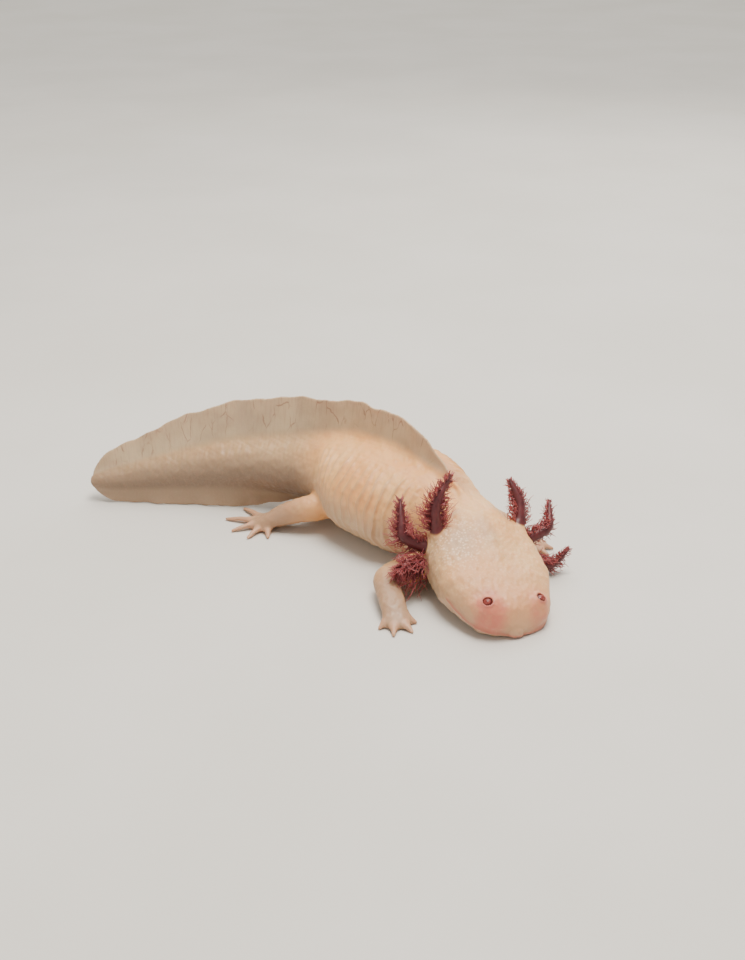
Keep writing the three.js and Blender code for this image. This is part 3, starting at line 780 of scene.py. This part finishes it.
def from_patch(across, s_middle, x_middle, s_reach, x_reach):
    """Distance from a patch's middle, one at its edge."""
    return np.hypot((s - s_middle) / s_reach, (across - x_middle) / x_reach)


blush, lids = np.zeros((2, len(points)))
on_snout = bump(from_patch(off_middle, *SNOUT_BLUSH), 1.15) * smooth_step(-1, 1, mouth_gap)
for side, (centre, _) in eyes.items():
    strength = BLUSH_STRENGTH[side] * (x > 0 if side == "left" else x < 0)
    from_eye = size_of(points - centre)
    blush = np.maximum(blush, strength * bump(from_eye, EYE_BLUSH_REACH))
    blush = np.maximum(blush, strength * 0.95 * on_snout)
    lids = np.maximum(lids, fade(EYE_RADIUS, EYE_RADIUS + LID_REACH, from_eye))
speckled = bump(from_patch(x, *SPECKLES), 1.1) * smooth_step(-4, 1, z) * flesh
speckled = np.maximum(speckled, 0.3 * bump(s - 24, 18) * smooth_step(0, 6, z) * flesh)
# Painted shade on the back's far side beside the fin's base, which faces away from the light.
far_shoulder_painted_shade = bump(x - 3.5, 5.5) * smooth_step(-0.5, 2, x) * span(s, 42, 54, 84, 100)

skin = new_mesh("skin", points, quads)
for name, values in dict(
    fin=np.maximum(dorsal, 0.8 * ventral) * flesh,
    dorsal=dorsal * flesh,
    limb_along=limb_along,
    digit=digit,
    gill=gill,
    blush=blush * flesh,
    # the grooves between the ribs; the colour darkens them as painted shade
    crease_and_painted_shade=crease_and_painted_shade,
    lips=bump(mouth_gap, 0.75) * mouth_mask,
    speckled=speckled * (1 - 0.8 * blush),
    tail=smooth_step(98, 118, s) * flesh,
    # low: painted shade, greyer low on the sides, where less light falls
    low=fade(-5, 8, z) * flesh,
    shadowed=collar + throat + hollow,
    face=fade(4, 25, s) * flesh,
    lids=lids,
    ridge_shade=far_shoulder_painted_shade * smooth_step(3, 8, z) * flesh,
).items():
    add_numbers(skin.data, name, values)
from_core = np.where(z > 0, z - back_at(s), z + belly_at(s))
add_numbers(skin.data, "fin_place", np.stack([s, from_core, np.sign(x)], 1))

# ---------------- gill filaments
FILAMENTS = 320
FILAMENT_RINGS, FILAMENT_SIDES = 8, 5
FILAMENT_LENGTH = through([[0, 3.6], [0.25, 4.3], [0.55, 3.4], [0.8, 2.2], [1, 1.0]])
FILAMENT_RADIUS = through([[0, 0.2], [0.3, 0.17], [0.8, 0.11], [1, 0.05]])
FIRST_FILAMENT, LOWEST_ROOT, STALK_JITTER = 0.1, 0.06, 0.012
ROOT_DEPTH = 0.72
ROOT_CAP, TIP_CAP = 0.05, 0.08
FILAMENT_FLOOR, FLOOR_BLEND = 0.6, 1.2
LIMB_GAP = 0.3
# The bake map: a strip for each stalk, along it and round it, with a small patch for each filament.
PATCH = 0.003
STRIP_START, STRIP_SPACING, STRIP_WIDTH = 0.05, 0.15, 0.06
STRIP_FOOT, STRIP_LENGTH = 0.04, 0.9


def clear_of_limbs(path):
    """The path lifted off the limbs, as soft filaments lie on them."""
    for _ in range(4):
        for tubes in limbs.values():
            gap = np.min([tube.distance(path) for tube in tubes], axis=0)
            path = path + UP * np.maximum(LIMB_GAP - gap, 0)[..., None]
    return path


def filament_paths(tube, tail, gill, random):
    """The filaments' paths, the direction across each, and its share along and turn about the stalk."""
    t = np.linspace(FIRST_FILAMENT, 1, FILAMENTS) + random.normal(0, STALK_JITTER, FILAMENTS)
    t = np.clip(t, LOWEST_ROOT, 1)
    side = np.where(np.arange(FILAMENTS) % 2 == 0, 1.0, -1.0)
    turn = side * np.radians(random.uniform(*gill["fan"], FILAMENTS))
    place, along, _, _, radius, _ = tube.at(t)
    backward = unit(tail - dot(along, tail)[:, None] * along)
    across = np.cross(along, backward)
    out = backward * np.cos(turn)[:, None] + across * np.sin(turn)[:, None]
    length = gill["reach"] * FILAMENT_LENGTH(t) * (0.55 + 0.85 * random.random(FILAMENTS) ** 1.3)
    sweep = random.uniform(0.35, 0.95, FILAMENTS) + 0.6 * smooth_step(0.8, 1, t)
    curl = unit(random.normal(size=(FILAMENTS, 3))) * random.uniform(0.14, 0.46, FILAMENTS)[:, None]
    twist = random.uniform(0, 2 * math.pi, FILAMENTS)
    points = []
    for u in np.linspace(0, 1, FILAMENT_RINGS):
        bend = out * (u - 0.18 * u * u) + along * (sweep * (0.25 * u + 0.75 * u * u))[:, None]
        bend = bend + curl * (np.sin(2.6 * u * math.pi + twist) - np.sin(twist))[:, None] * u
        bend = bend - UP * gill["droop"] * u * u
        points.append(place + out * (radius * ROOT_DEPTH)[:, None] + bend * length[:, None])
    path = np.stack(points, 1)
    path[..., 2] = smooth_max(path[..., 2], FILAMENT_FLOOR, FLOOR_BLEND)
    return clear_of_limbs(path), across, t, turn


def bake_map(mesh, strip, t, turn, along_each):
    """A patch for each filament at its root's place on the unwrap of its stalk."""
    strip_left = STRIP_START + STRIP_SPACING * strip
    home = np.stack([strip_left + STRIP_WIDTH * (turn / math.pi + 0.5), STRIP_FOOT + STRIP_LENGTH * t], 1)
    around = np.tile(np.arange(FILAMENT_SIDES) / FILAMENT_SIDES, FILAMENT_RINGS)
    patch = np.stack([np.concatenate([around, [0.5, 0.5]]), along_each], 1) * PATCH
    uv = (home[:, None, :] + patch).reshape(-1, 2)
    corner = np.empty(len(mesh.loops), np.int32)
    mesh.loops.foreach_get("vertex_index", corner)
    layer = mesh.uv_layers.new(name="OFBake")
    layer.data.foreach_set("uv", uv[corner].astype(np.float32).ravel())


def filaments(name, strip):
    """All the filaments of a gill as one mesh."""
    gill = GILLS[name]
    random = np.random.default_rng(SEED + 20 + strip)
    path, across, t, turn = filament_paths(stalks[name], tailward(gill["root"][0]), gill, random)
    share = np.linspace(0, 1, FILAMENT_RINGS)
    size = FILAMENT_RADIUS(share) * random.uniform(0.8, 1.15, FILAMENTS)[:, None]
    ahead = unit(np.gradient(path, axis=1))
    sideways = unit(np.cross(ahead, across[:, None, :] + 0.13))
    upward = np.cross(ahead, sideways)
    turns = (np.arange(FILAMENT_SIDES) * (2 * math.pi / FILAMENT_SIDES))[:, None]
    ring = sideways[:, :, None, :] * np.cos(turns) + upward[:, :, None, :] * np.sin(turns)
    shell = (path[:, :, None, :] + ring * size[..., None, None]).reshape(FILAMENTS, -1, 3)
    root = path[:, 0] - ahead[:, 0] * ROOT_CAP
    tip = path[:, -1] + ahead[:, -1] * TIP_CAP
    vertices = np.concatenate([shell, root[:, None], tip[:, None]], 1)
    each = vertices.shape[1]
    start = np.arange(FILAMENTS)[:, None, None] * each
    faces = ring_faces(FILAMENT_RINGS, FILAMENT_SIDES)[:, ::-1]
    thing = new_mesh("gill_" + name + "_filaments", vertices.reshape(-1, 3), (faces + start).reshape(-1, 3))
    along_each = np.concatenate([np.repeat(share, FILAMENT_SIDES), [0, 1]])
    add_numbers(thing.data, "filament_along", np.tile(along_each, FILAMENTS))
    add_numbers(thing.data, "filament_tone", np.repeat(random.random(FILAMENTS), each))
    bake_map(thing.data, strip, t, turn, along_each)
    return thing


gill_pieces = [filaments(name, strip) for strip, name in enumerate(stalks)]

# ---------------- eyes
EYE_RINGS, EYE_TURNS = 40, 56
CORNEA_RADIUS, CORNEA_RISE = 1.12, 0.13
EYE_SIDEWAYS = 0.2


def eye_mesh(name, centre, outward):
    """A ball with a raised cornea that looks outward and a little sideways."""
    left = spine.at(EYE_S)[2]
    outward = unit(outward + EYE_SIDEWAYS * left * np.sign(dot(outward, left)))
    side = unit(np.cross(UP, outward))
    upward = np.cross(outward, side)
    polar = np.linspace(0, math.pi, EYE_RINGS + 1)[1:-1]
    turn = np.arange(EYE_TURNS) * (2 * math.pi / EYE_TURNS)
    from_pole = np.sin(polar) * EYE_RADIUS
    rise = CORNEA_RISE * np.clip(1 - (from_pole / CORNEA_RADIUS) ** 2, 0, 1) ** 1.5 * (polar < 1.5)
    radius = EYE_RADIUS + rise
    ring = side * np.cos(turn)[:, None] + upward * np.sin(turn)[:, None]
    shell = centre + ring * (np.sin(polar) * radius)[:, None, None]
    shell = shell + outward * (np.cos(polar) * radius)[:, None, None]
    ends = np.stack([centre + outward * (EYE_RADIUS + CORNEA_RISE), centre - outward * EYE_RADIUS])
    thing = new_mesh(name, np.vstack([shell.reshape(-1, 3), ends]), ring_faces(len(polar), EYE_TURNS))
    from_axis = np.repeat(np.degrees(polar) / 90, EYE_TURNS)
    add_numbers(thing.data, "from_axis", np.concatenate([from_axis, [0, 2]]))
    spokes = np.tile(np.stack([np.cos(turn), np.sin(turn), 0 * turn], 1), (len(polar), 1))
    add_numbers(thing.data, "eye_turn", np.vstack([spokes, np.zeros((2, 3))]))
    return thing


eye_pieces = {side: eye_mesh("eye_" + side + "_ball", *axes) for side, axes in eyes.items()}


# ---------------- materials
def colour(code):
    """A hex colour as linear RGBA."""
    values = [int(code[k : k + 2], 16) / 255 for k in (1, 3, 5)]
    return tuple(v / 12.92 if v <= 0.04045 else ((v + 0.055) / 1.055) ** 2.4 for v in values) + (1.0,)


class Finish:
    """A procedural material and short calls that add its nodes."""

    def __init__(self, name, **settings):
        self.material = bpy.data.materials.new(name)
        self.material.use_nodes = True
        self.tree = self.material.node_tree
        self.shader = self.tree.nodes["Principled BSDF"]
        for socket, value in settings.items():
            self.shader.inputs[socket.replace("_", " ")].default_value = value

    def put(self, socket, value):
        """Feed a socket from another node, a hex colour or a plain value."""
        if isinstance(value, bpy.types.NodeSocket):
            self.tree.links.new(value, socket)
        else:
            socket.default_value = colour(value) if isinstance(value, str) else value

    def node(self, kind, inputs, output=0, **settings):
        made = self.tree.nodes.new("ShaderNode" + kind)
        for name, value in settings.items():
            setattr(made, name, value)
        for key, value in inputs.items():
            self.put(made.inputs[key], value)
        return made.outputs[output]

    def number(self, name):
        """A value that the mesh carries."""
        return self.node("Attribute", {}, "Fac", attribute_name=name)

    def vector(self, name):
        return self.node("Attribute", {}, "Vector", attribute_name=name)

    def place(self):
        return self.node("TexCoord", {}, "Object")

    def noise(self, scale, detail, vector=None, output="Fac"):
        inputs = {"Vector": vector or self.place(), "Scale": scale, "Detail": detail}
        return self.node("TexNoise", inputs, output)

    def maths(self, operation, a, b):
        return self.node("Math", {0: a, 1: b}, operation=operation)

    def times(self, a, b):
        return self.maths("MULTIPLY", a, b)

    def ramp(self, value, low, high, to_low=0.0, to_high=1.0):
        inputs = {0: value, 1: low, 2: high, 3: to_low, 4: to_high}
        return self.node("MapRange", inputs, interpolation_type="SMOOTHSTEP")

    def mix(self, share, a, b):
        return self.node("Mix", {0: share, 6: a, 7: b}, 2, data_type="RGBA")

    def tints(self, base, *rows):
        """Tints laid over the base: each has its mask, where that comes in, its full share and its colour."""
        for mask, low, high, share, tint in rows:
            base = self.mix(self.ramp(self.number(mask), low, high, 0, share), base, tint)
        return base

    def bump(self, height, distance, strength):
        return self.node("Bump", {"Height": height, "Distance": distance, "Strength": strength})

    def finish(self, **links):
        for name, value in links.items():
            self.put(self.shader.inputs[name.replace("_", " ")], value)
        return self.material


def low_painted_shade_and_tail_colour(f, base, painted_shade_low_tail):
    """Painted shade, greyer on the lower sides and darker still low on the tail, where less light falls; and
    a browner tail.
    """
    base = f.mix(f.times(f.number("low"), 0.72), base, "#b3a28b")
    base = f.mix(f.times(f.number("tail"), 0.75), base, "#ab906e")
    return f.mix(f.times(painted_shade_low_tail, 0.92), base, "#826b58")


def fin_colour(f, base, painted_shade_low_tail):
    """The fins' thin web, with painted shade on it low on the tail, fine veins in the upper one and streaks
    along the tail.
    """
    place = f.vector("fin_place")
    web = f.mix(f.ramp(f.noise(120, 3), 0.35, 0.7), "#c5af8d", "#b29c7f")
    web = f.mix(painted_shade_low_tail, web, "#a58a6e")
    base = f.mix(f.ramp(f.number("fin"), 0.02, 0.3, 0, 0.85), base, web)
    stretched = f.node("Mapping", {"Vector": place, "Scale": (0.24, 0.085, 2.0)})
    shift = f.node("VectorMath", {0: f.noise(0.22, 3, place, "Color"), 3: 0.45}, operation="SCALE")
    wavy = f.node("VectorMath", {0: stretched, 1: shift}, operation="ADD")
    edges = f.node("TexVoronoi", {"Vector": wavy, "Scale": 1.0}, "Distance", feature="DISTANCE_TO_EDGE")
    vein = f.times(f.ramp(edges, 0.008, 0.04, 1, 0), f.ramp(f.noise(0.16, 2, place), 0.44, 0.6))
    base = f.mix(f.times(vein, f.ramp(f.number("dorsal"), 0.1, 0.4, 0, 0.7)), base, "#8d6450")
    grained = f.node("Mapping", {"Vector": place, "Scale": (1.4, 0.16, 1.0)})
    on_fin, on_tail = f.times(f.number("fin"), 0.5), f.times(f.number("tail"), 0.32)
    streaks = f.times(f.ramp(f.noise(1, 4, grained), 0.45, 0.75), f.maths("MAXIMUM", on_fin, on_tail))
    return f.mix(streaks, base, "#a07c6a")


def painted_fold_shade_and_blush(f, base, medium):
    """The folds' painted shade, the blush and lips, the lids with painted shade at their inner edge, and
    painted shade on the back's far side.
    """
    # Painted shade in the creases between the ribs.
    base = f.tints(base, ("crease_and_painted_shade", 0.1, 0.9, 0.45, "#bd9574"), ("shadowed", 0.2, 1, 0.45, "#b99c80"))
    blush = f.times(f.number("blush"), f.ramp(medium, 0.3, 0.6, 0.6, 1.0))
    base = f.mix(f.ramp(blush, 0.12, 0.8, 0, 0.85), base, "#d0705e")
    # Lips are pink; the lids are a darker red band, partly their own colour and partly painted shade, darkest
    # where the skin meets the ball.
    base = f.tints(base, ("lips", 0.25, 1, 0.7, "#c0695a"), ("lids", 0.1, 0.7, 0.9, "#b26355"),
                   ("lids", 0.8, 1, 0.95, "#77332f"))
    # Painted shade on the back's far side beside the fin.
    return f.mix(f.times(f.number("ridge_shade"), 0.7), base, "#b98a68")


def pale_specks(f):
    """Small round spots, one to a cell, that come and go in patches."""
    cells = f.node("TexVoronoi", {"Vector": f.place(), "Scale": 1150.0}, "Distance")
    return f.times(f.ramp(cells, 0.25, 0.52, 1, 0), f.ramp(f.noise(420, 2), 0.3, 0.55, 0.35, 1))


def skin_material():
    f = Finish("axolotl_skin", Subsurface_Weight=0.26, Subsurface_Radius=(1.0, 0.5, 0.34),
               Subsurface_Scale=0.002, Coat_Weight=0.12, Coat_Roughness=0.35, Specular_IOR_Level=0.42)
    broad, medium, grain = f.noise(55, 3), f.noise(260, 4), f.noise(1500, 2)
    # Painted shade low on the tail.
    painted_shade_low_tail = f.times(f.number("tail"), f.number("low"))
    speckled = f.number("speckled")
    specks = pale_specks(f)
    base = f.mix(f.ramp(broad, 0.35, 0.65), "#efab67", "#f4be7e")
    base = f.mix(f.ramp(medium, 0.5, 0.72, 0, 0.35), base, "#e5a06e")
    base = f.mix(f.times(f.number("face"), 0.7), base, "#d4936a")
    base = low_painted_shade_and_tail_colour(f, base, painted_shade_low_tail)
    base = fin_colour(f, base, painted_shade_low_tail)
    base = painted_fold_shade_and_blush(f, base, medium)
    base = f.tints(base, ("limb_along", 0.1, 0.75, 0.82, "#997b66"), ("digit", 0.2, 1, 0.5, "#d6a482"))
    base = f.mix(f.times(speckled, 0.75), base, "#b99c80")
    base = f.mix(f.times(f.times(specks, speckled), 0.8), base, "#fbdcb6")
    base = f.mix(f.ramp(grain, 0.45, 0.75, 0, 0.12), base, "#c99f86")
    stalk = f.mix(f.ramp(f.noise(500, 3), 0.35, 0.7), "#622529", "#4b1a1f")
    base = f.mix(f.ramp(f.number("gill"), 0.25, 0.95), base, stalk)
    height = f.maths("ADD", f.times(medium, 0.7), f.times(grain, 0.22))
    height = f.maths("ADD", height, f.times(specks, f.times(speckled, 0.25)))
    rough = f.ramp(f.noise(700, 3), 0.3, 0.7, 0.42, 0.58)
    rough = f.maths("MAXIMUM", rough, f.times(f.number("lids"), 0.85))
    return f.finish(Base_Color=base, Roughness=rough, Normal=f.bump(height, 0.00035, 0.5))


def filament_material():
    f = Finish("gill_filaments", Subsurface_Weight=0.3, Subsurface_Radius=(1.0, 0.3, 0.2),
               Subsurface_Scale=0.001, Coat_Weight=0.12, Coat_Roughness=0.35)
    along, tone = f.number("filament_along"), f.number("filament_tone")
    base = f.mix(f.ramp(along, 0, 0.8), "#6f2a31", "#9f4a4d")
    base = f.mix(f.times(f.ramp(tone, 0.3, 1, 0, 0.7), along), base, "#bd7674")
    base = f.mix(f.ramp(f.noise(900, 3), 0.45, 0.7, 0, 0.35), base, "#6d262a")
    rough = f.ramp(f.noise(1600, 2), 0.3, 0.7, 0.35, 0.55)
    return f.finish(Base_Color=base, Roughness=rough, Normal=f.bump(f.noise(2600, 2), 0.0001, 0.4))


def eye_material():
    f = Finish("eye", Coat_Weight=0.2, Coat_Roughness=0.25, Specular_IOR_Level=0.3)
    axis = f.number("from_axis")
    spokes = f.node("Mapping", {"Vector": f.vector("eye_turn"), "Scale": (6.0, 6.0, 6.0)})
    iris = f.mix(f.ramp(f.noise(1, 3, spokes), 0.35, 0.65), "#823630", "#97463d")
    base = f.mix(f.ramp(axis, 0.14, 0.22), "#742b27", iris)
    base = f.mix(f.ramp(axis, 0.34, 0.46), base, "#56201c")
    base = f.mix(f.ramp(axis, 0.7, 0.8), base, "#a86558")
    rough = f.ramp(f.noise(900, 2), 0.3, 0.7, 0.28, 0.4)
    return f.finish(Base_Color=base, Roughness=rough, Normal=f.bump(f.noise(1200, 2), 0.00003, 0.3))


def floor_material():
    f = Finish("studio_floor", Specular_IOR_Level=0.25)
    base = f.mix(f.ramp(f.noise(9, 4), 0.3, 0.7), "#d6d3cc", "#dcd9d3")
    return f.finish(Base_Color=base, Roughness=f.ramp(f.noise(60, 3), 0.3, 0.7, 0.6, 0.72),
                    Normal=f.bump(f.noise(900, 3), 0.0002, 0.2))


def coat(material, *pieces):
    for piece in pieces:
        piece.data.materials.append(material)


coat(skin_material(), skin)
coat(filament_material(), *gill_pieces)
coat(eye_material(), *eye_pieces.values())

# ---------------- the frame's bodies
flesh_nodes = [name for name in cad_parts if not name.startswith(("gill_", "eye_"))]
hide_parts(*flesh_nodes)
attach(skin, "root")
for name, piece in zip(stalks, gill_pieces):
    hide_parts("gill_" + name)
    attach(piece, "root")
for side, piece in eye_pieces.items():
    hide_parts("eye_" + side)
    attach(piece, "root")

# ---------------- floor, lights and camera
FLOOR_REACH, FLOOR_TOP = 4000, -0.05
LIGHTS_AIM = Vector((-0.01, 0, 0.01))
WORLD_COLOUR, WORLD_STRENGTH = (0.86, 0.84, 0.8, 1), 0.5

floor_points = np.array([[-1, -1, 0], [1, -1, 0], [1, 1, 0], [-1, 1, 0]]) * FLOOR_REACH + UP * FLOOR_TOP
floor = new_mesh("studio_floor", floor_points, np.array([[0, 1, 2, 3]]))
coat(floor_material(), floor)


def area_light(name, place, size, power, tint):
    """A round light at a place in metres that shines on the model."""
    light = bpy.data.lights.new(name, "AREA")
    light.shape = "DISK"
    light.size = size
    light.energy = power
    light.color = tint
    lamp = add_object(name, light)
    lamp.location = place
    lamp.rotation_euler = (LIGHTS_AIM - Vector(place)).to_track_quat("-Z", "Y").to_euler()


area_light("key", (0.1, -0.05, 0.75), 0.4, 7.4, (1.0, 0.94, 0.86))
area_light("fill", (-0.55, -0.6, 0.35), 0.6, 1.0, (1.0, 0.96, 0.92))
area_light("rim", (0.25, 0.6, 0.4), 0.4, 1.4, (1.0, 0.96, 0.9))
area_light("wash", (0.0, 1.6, 3.0), 3.0, 85, (1.0, 0.96, 0.9))
world = bpy.data.worlds.new("studio")
world.use_nodes = True
background = world.node_tree.nodes["Background"].inputs
background["Color"].default_value = WORLD_COLOUR
background["Strength"].default_value = WORLD_STRENGTH
bpy.context.scene.world = world

lens = bpy.data.cameras.new("camera")
lens.lens = LENS
lens.sensor_width = SENSOR
lens.sensor_fit = "AUTO"
camera = add_object("camera", lens)
focal_pixels = max(IMAGE) * LENS / SENSOR
down = math.radians(CAMERA_DOWN)
view = np.array([0, math.cos(down), -math.sin(down)])
across = np.array([1.0, 0, 0])
above = np.cross(across, view)
spot = (-view - across * (ORIGIN_PIXEL[0] - IMAGE[0] / 2) / focal_pixels
        + above * (ORIGIN_PIXEL[1] - IMAGE[1] / 2) / focal_pixels) * CAMERA_DEPTH
camera.location = spot * MM
camera.rotation_euler = (math.pi / 2 - down, 0, 0)
bpy.context.scene.camera = camera
